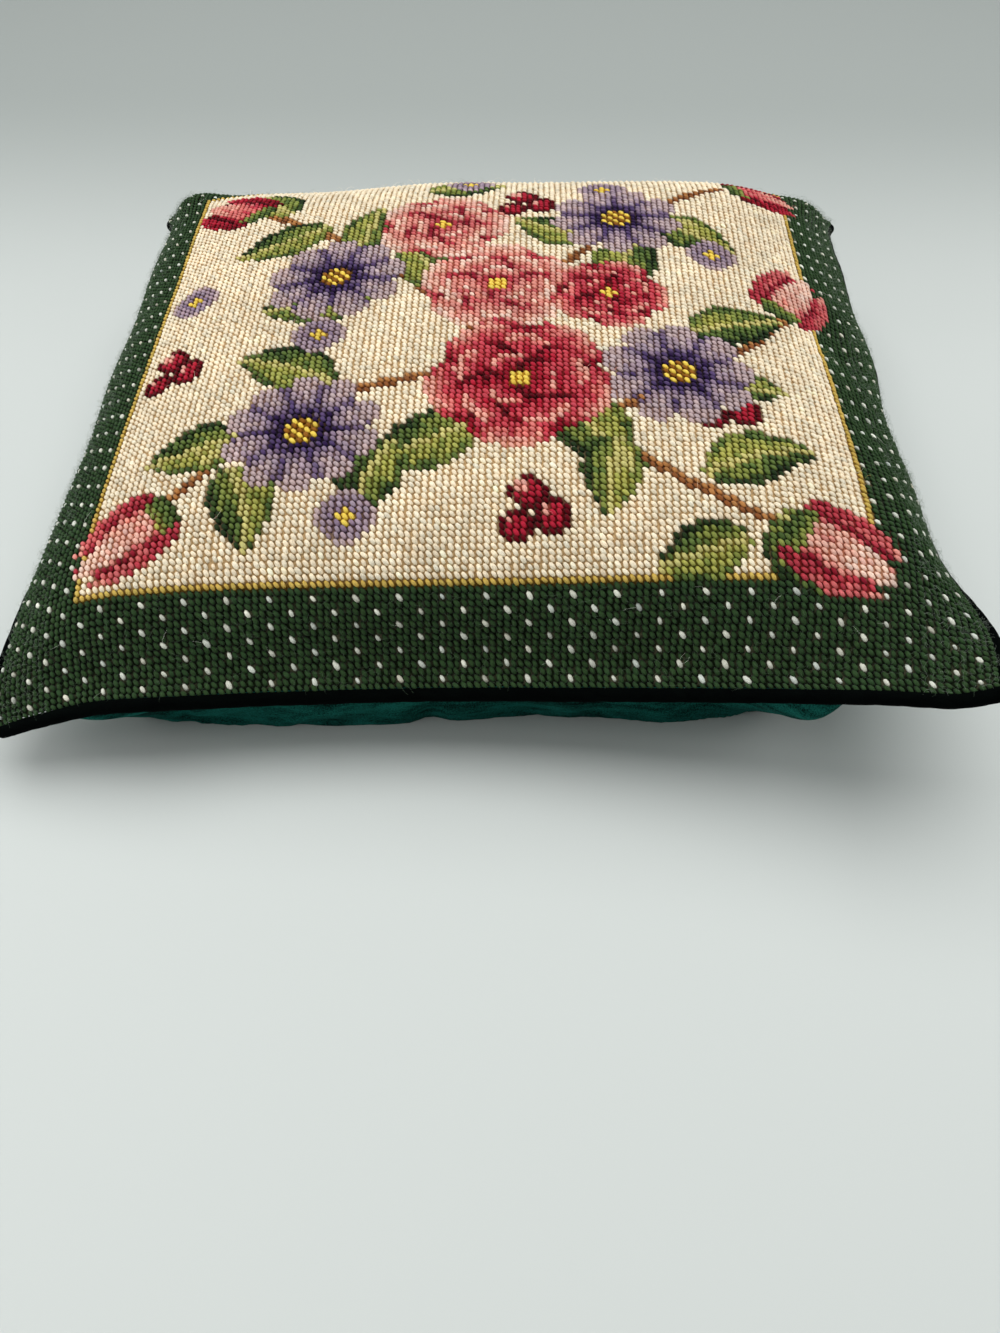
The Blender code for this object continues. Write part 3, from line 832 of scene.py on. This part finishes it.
def bodySheets(line):
    # upper side: just under the panel. Lower side: drops from the seam, bellies out, lies flat at 0
    f = bodyForm
    s, t = np.meshgrid(line * f["rimStation"], line * f["rimStation"], indexing="ij")
    upper = onFace(s, t, np.full(s.shape, -f["panelThickness"] - f["clear"]))
    rim = onFace(s, t, np.full(s.shape, -f["panelThickness"] - f["clear"] - f["rimHeight"]))
    level = rim[..., 2] - (faceHeight(s, t) - seamLevel(s, t))
    s, t = s / f["rimStation"], t / f["rimStation"]
    share, power = f["cornerThinning"]
    depth = f["backDepth"] * (1 - share * np.abs(s * t) ** power)
    depth = depth * fadeToSeam(s, f["backPowers"]) * fadeToSeam(t, f["backPowers"])
    near = np.maximum(np.abs(s), np.abs(t)) ** f["puckerReach"] * np.minimum(depth / f["puckerDepth"], 1)
    pucker = np.zeros_like(s)
    for waves, phase, part in f["puckerWaves"]:
        turn = waves * np.pi / 2
        pucker += part * (np.sin(turn * (s - t) + phase) + np.sin(turn * (s + t) + 2 * phase))
    height = np.maximum(level - depth + f["puckerDepth"] * near * pucker / 2, 0)

    # the belly's bulge is 4 * part * (1 - part), with part = |place|^bellyPower; each fold is a bell
    # across the front times the same bulge
    bulgeAcross, bulgeAlong = (4 * part * (1 - part) for part in
                               (np.abs(s) ** f["bellyPower"], np.abs(t) ** f["bellyPower"]))
    wider = 1 + f["bellyAcross"] * bulgeAcross * fadeToSeam(t, f["bellyFade"])
    longer = 1 + f["bellyAlong"] * bulgeAlong * fadeToSeam(s, f["bellyFade"])
    push = sum(much * bell(s, place, reach) for place, reach, much in f["frontFolds"])
    flat = rim + planMiddle
    lower = np.stack([flat[..., 0] * wider, flat[..., 1] * longer - push * np.where(t < 0, bulgeAlong, 0),
                      height], axis=-1)
    return upper, lower - planMiddle


velvetForm = {
    "steps": 96,                         # faces a side of the sheet that is simulated
    "slack": 0.035,                      # the velvet is cut this much larger than its place
    "pressure": 2.2,                     # of the filling against it
    "frames": 20,
    "mostMove": 5.5 * mm,
}


def settleVelvet(sheet):
    # cloth simulation: the seam is pinned, the filling presses from inside, and the slack gathers into
    # folds beside the seam. Gives back how far each point moves, softly held under mostMove
    f, stage, count = velvetForm, bpy.context.scene, sheet.shape[0]
    faces = gridFaces(count, count)[:, ::-1]
    piece = newPiece("velvetSettling", sheet.reshape(-1, 3), [faces], backVelvet)
    number = np.arange(count * count).reshape(count, count)
    rim = np.concatenate([number[0], number[-1], number[:, 0], number[:, -1]])
    piece.vertex_groups.new(name="seam").add(rim.tolist(), 1.0, "REPLACE")
    cloth = piece.modifiers.new("settle", "CLOTH")
    cloth.settings.vertex_group_mass = "seam"
    cloth.settings.shrink_min = -f["slack"]
    cloth.settings.use_pressure = True
    cloth.settings.uniform_pressure_force = f["pressure"]
    cloth.settings.effector_weights.gravity = 0
    cloth.point_cache.frame_start, cloth.point_cache.frame_end = 1, f["frames"]
    for frameNumber in range(1, f["frames"] + 1):
        stage.frame_set(frameNumber)
    settled = piece.evaluated_get(bpy.context.evaluated_depsgraph_get())
    places = np.empty(count * count * 3, np.float32)
    settled.data.vertices.foreach_get("co", places)
    bpy.data.objects.remove(piece, do_unlink=True)
    stage.frame_set(1)
    move = places.reshape(sheet.shape) - sheet
    far = np.linalg.norm(move, axis=-1, keepdims=True)
    return move / (1 + far / f["mostMove"])


def resample(field, fromLine, toLine):
    # linear along both sides of a grid of vectors
    place = np.interp(toLine, fromLine, np.arange(len(fromLine)))
    low = np.minimum(place.astype(int), len(fromLine) - 2)
    part = place - low
    rows = field[low] * (1 - part)[:, None, None] + field[low + 1] * part[:, None, None]
    return rows[:, low] * (1 - part)[:, None] + rows[:, low + 1] * part[:, None]


def makeBody():
    line = sideStations(bodyForm["steps"], ())
    upper, lower = bodySheets(line)
    coarse = sideStations(velvetForm["steps"], ())
    lower = lower + resample(settleVelvet(bodySheets(coarse)[1]), coarse, line)
    lower[..., 2] = np.maximum(lower[..., 2], 0)
    count = len(line)
    top = gridFaces(count, count)
    under = top[:, ::-1] + count * count
    number = np.arange(count * count).reshape(count, count)
    ring = np.concatenate([number[:-1, 0], number[-1, :-1], number[:0:-1, -1], number[0, :0:-1]])
    after = np.roll(ring, -1)
    rim = np.stack([after, ring, ring + count * count, after + count * count], axis=-1)
    points = np.concatenate([upper.reshape(-1, 3), lower.reshape(-1, 3)])
    return newPiece("velvetBack", points, [top, under, rim], backVelvet)


velvetBack = makeBody()
print("stage: velvet body made")


fibreForm = {
    "count": 8000,
    "sideShare": 0.60,                   # part of them on the outer half of the side borders
    "borderShare": 0.24,                 # part anywhere on the green borders
    "sideFrom": 0.87,
    "radius": 0.030 * mm,
    "length": (1.6 * mm, 6.5 * mm),
    "sideLength": 0.6,                   # the side hairs are this much as long
    "lift": (0.5, 1.5),                  # how high the middle of a hair stands, in mm before squaring
    "sink": 0.1 * mm,                    # how deep its root lies
    "bend": 1.6,                         # most turn along it, in radians
    "taper": 0.5,
    "highlightGain": 1.5,                       # times the wool's colour, as painted highlight
    "highlightAdd": (0.24, 0.08),                # and added to it as painted highlight, on the sides and elsewhere
    "steps": 3,
    "faces": 3,                          # round a hair
    "seed": 23,
}


def makeFibres():
    # a hair starts on a stitch and wanders over the face: heading turns steadily, height is a low arch
    f, rng = fibreForm, np.random.default_rng(fibreForm["seed"])
    count, steps = f["count"], f["steps"]
    green = worked("green")
    groups = (green & (np.abs(toFace(stitchU, stitchV)[0]) > f["sideFrom"]), green, np.ones_like(green))
    groups = [rng.choice(np.flatnonzero(group), count) for group in groups]
    draw = rng.random(count)
    onSide, onBorder = draw < f["sideShare"], draw < f["sideShare"] + f["borderShare"]
    pick = np.where(onSide, groups[0], np.where(onBorder, groups[1], groups[2]))
    u, v = stitchU.ravel()[pick], stitchV.ravel()[pick]
    length = rng.uniform(*f["length"], count) * np.where(onSide, f["sideLength"], 1)
    length /= cushionForm["threadPitch"]
    part = np.linspace(0, 1, steps + 1)
    heading = rng.uniform(0, 2 * np.pi, (count, 1)) + rng.uniform(-f["bend"], f["bend"], (count, 1)) * part
    step = np.diff(part, prepend=0) * length[:, None]
    x, y = (start[:, None] + np.cumsum(step * wave(heading), axis=1)
            for start, wave in ((u, np.cos), (v, np.sin)))
    low, high = -f["sink"], rng.uniform(*f["lift"], (count, 1)) ** 2 * mm
    lift = low + (high - low) * np.sin(np.pi * np.minimum(part * rng.uniform(0.5, 1.0, (count, 1)), 1))
    line = onFace(*toFace(x, y), lift)
    ahead = unit(np.gradient(line, axis=1))
    side = unit(np.cross(ahead, [0.0, 0.0, 1.0]))
    angle = (np.arange(f["faces"]) * 2 * np.pi / f["faces"])[:, None]
    thin = f["radius"] * (1 - f["taper"] * part)[None, :, None, None]
    side, rise = side[:, :, None], np.cross(side, ahead)[:, :, None]
    points = line[:, :, None] + thin * (side * np.cos(angle) + rise * np.sin(angle))
    number, _, tube = tubeFaces(steps + 1, f["faces"])
    ends = np.stack([number[0, ::-1], number[-1]])
    each = (np.arange(count) * number.size)[:, None, None]
    # painted highlight: each hair is lighter than its wool, most of all on the side borders
    colour = chartColour.reshape(-1, 3)[pick] * f["highlightGain"] + np.where(onSide, *f["highlightAdd"])[:, None]
    return newPiece(
        "looseFibres", points.reshape(-1, 3), [(tube + each).reshape(-1, 4), (ends + each).reshape(-1, 3)],
        wool, values={"woolColour": np.repeat(colour, number.size, axis=0),
                      "woolDepthShade": np.ones(count * number.size)})


looseFibres = makeFibres()
print("stage: fibres made")


for piece in (canvasSheet, *stitchPieces, looseFibres):
    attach(piece, "root")
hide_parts("needlepoint_panel")
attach(pipingTube, "root")
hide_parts("velvet_piping")
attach(velvetBack, "root")
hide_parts("velvet_body")


stageForm = {
    "floor": -0.2 * mm,
    "halfWidth": 4.0,
    "paper": "#CCD1CE",
    "farPaperShade": "#A3A9A6",               # painted shade: the paper is darker behind the cushion
    "fade": (0.08, 0.50),                # where that starts and ends, along Y
}


def makeStage():
    # one flat sheet of pale paper, darkened behind the cushion as painted shade
    f = stageForm
    ends = [-f["halfWidth"], f["halfWidth"]]
    x, y = np.meshgrid(ends, ends, indexing="ij")
    points = np.stack([x, y, np.full(x.shape, f["floor"])], axis=-1).reshape(-1, 3)
    paper, tree, shader = newMaterial("studioPaper", Roughness=0.7, Specular_IOR_Level=0.2)
    place = addNode(tree, "ShaderNodeTexCoord").outputs["Object"]
    along = addNode(tree, "ShaderNodeSeparateXYZ", {"Vector": place}).outputs["Y"]
    start, end = f["fade"]
    part = addNode(tree, "ShaderNodeMapRange", {"Value": along, "From Min": start, "From Max": end},
                   interpolation_type="SMOOTHSTEP")
    near, far = ((*toLinear(f[key]), 1) for key in ("paper", "farPaperShade"))
    blend = addNode(tree, "ShaderNodeMix", {"Factor": part, 6: near, 7: far}, data_type="RGBA").outputs[2]
    feed(tree, shader, {"Base Color": blend})
    newPiece("studioPaper", points, [gridFaces(2, 2)], paper)


lightForm = {
    "top": {"place": (0.0, 0.42, 1.60), "size": (2.3, 2.2), "watts": 35.0, "aim": (0.0, 0.04, 0.0)},
    "front": {"place": (-0.20, -0.90, 1.10), "size": (1.2, 0.6), "watts": 2.0, "aim": (0.0, 0.0, 0.05)},
    "left": {"place": (-0.96, -0.32, 0.38), "size": (0.8, 0.6), "watts": 4.7, "aim": (-0.1, 0.0, 0.05)},
    "right": {"place": (1.0, 0.0, 0.40), "size": (0.8, 0.6), "watts": 3.2, "aim": (0.1, 0.0, 0.05)},
    "sky": "#E4ECEC",
    "skyStrength": 0.15,
}


def makeLights():
    for name in ("top", "front", "left", "right"):
        f = lightForm[name]
        data = bpy.data.lights.new(name + "Softbox", "AREA")
        data.shape = "RECTANGLE"
        data.size, data.size_y = f["size"]
        data.energy = f["watts"]
        lamp = bpy.data.objects.new(name + "Softbox", data)
        place, aim = np.array(f["place"]), np.array(f["aim"])
        turn = Vector(aim - place).to_track_quat("-Z", "Y")      # a lamp shines along its own -Z
        lamp.matrix_world = Matrix.Translation(place) @ turn.to_matrix().to_4x4()
        bpy.context.scene.collection.objects.link(lamp)
    world = bpy.data.worlds.new("studioAir")
    world.use_nodes = True
    background = world.node_tree.nodes["Background"]
    background.inputs["Color"].default_value = (*toLinear(lightForm["sky"]), 1)
    background.inputs["Strength"].default_value = lightForm["skyStrength"]
    bpy.context.scene.world = world


cameraForm = {
    "place": (0.0162, -0.4391, 0.3426),
    "tilt": 44.195,                      # degrees up from straight down
    "roll": 0.180,
    "yaw": 1.364,
    "lens": 32.16,
}


def makeCamera():
    f = cameraForm
    data = bpy.data.cameras.new("photoCamera")
    data.lens = f["lens"]
    data.clip_start = 0.01
    camera = bpy.data.objects.new("photoCamera", data)
    yaw, tilt, roll = (Matrix.Rotation(math.radians(f[key]), 4, axis)
                       for key, axis in (("yaw", "Z"), ("tilt", "X"), ("roll", "Z")))
    camera.matrix_world = Matrix.Translation(f["place"]) @ yaw @ tilt @ roll
    bpy.context.scene.collection.objects.link(camera)
    bpy.context.scene.camera = camera


makeStage()
makeLights()
makeCamera()
bpy.context.scene.view_settings.view_transform = "Standard"
print("stage: studio ready")
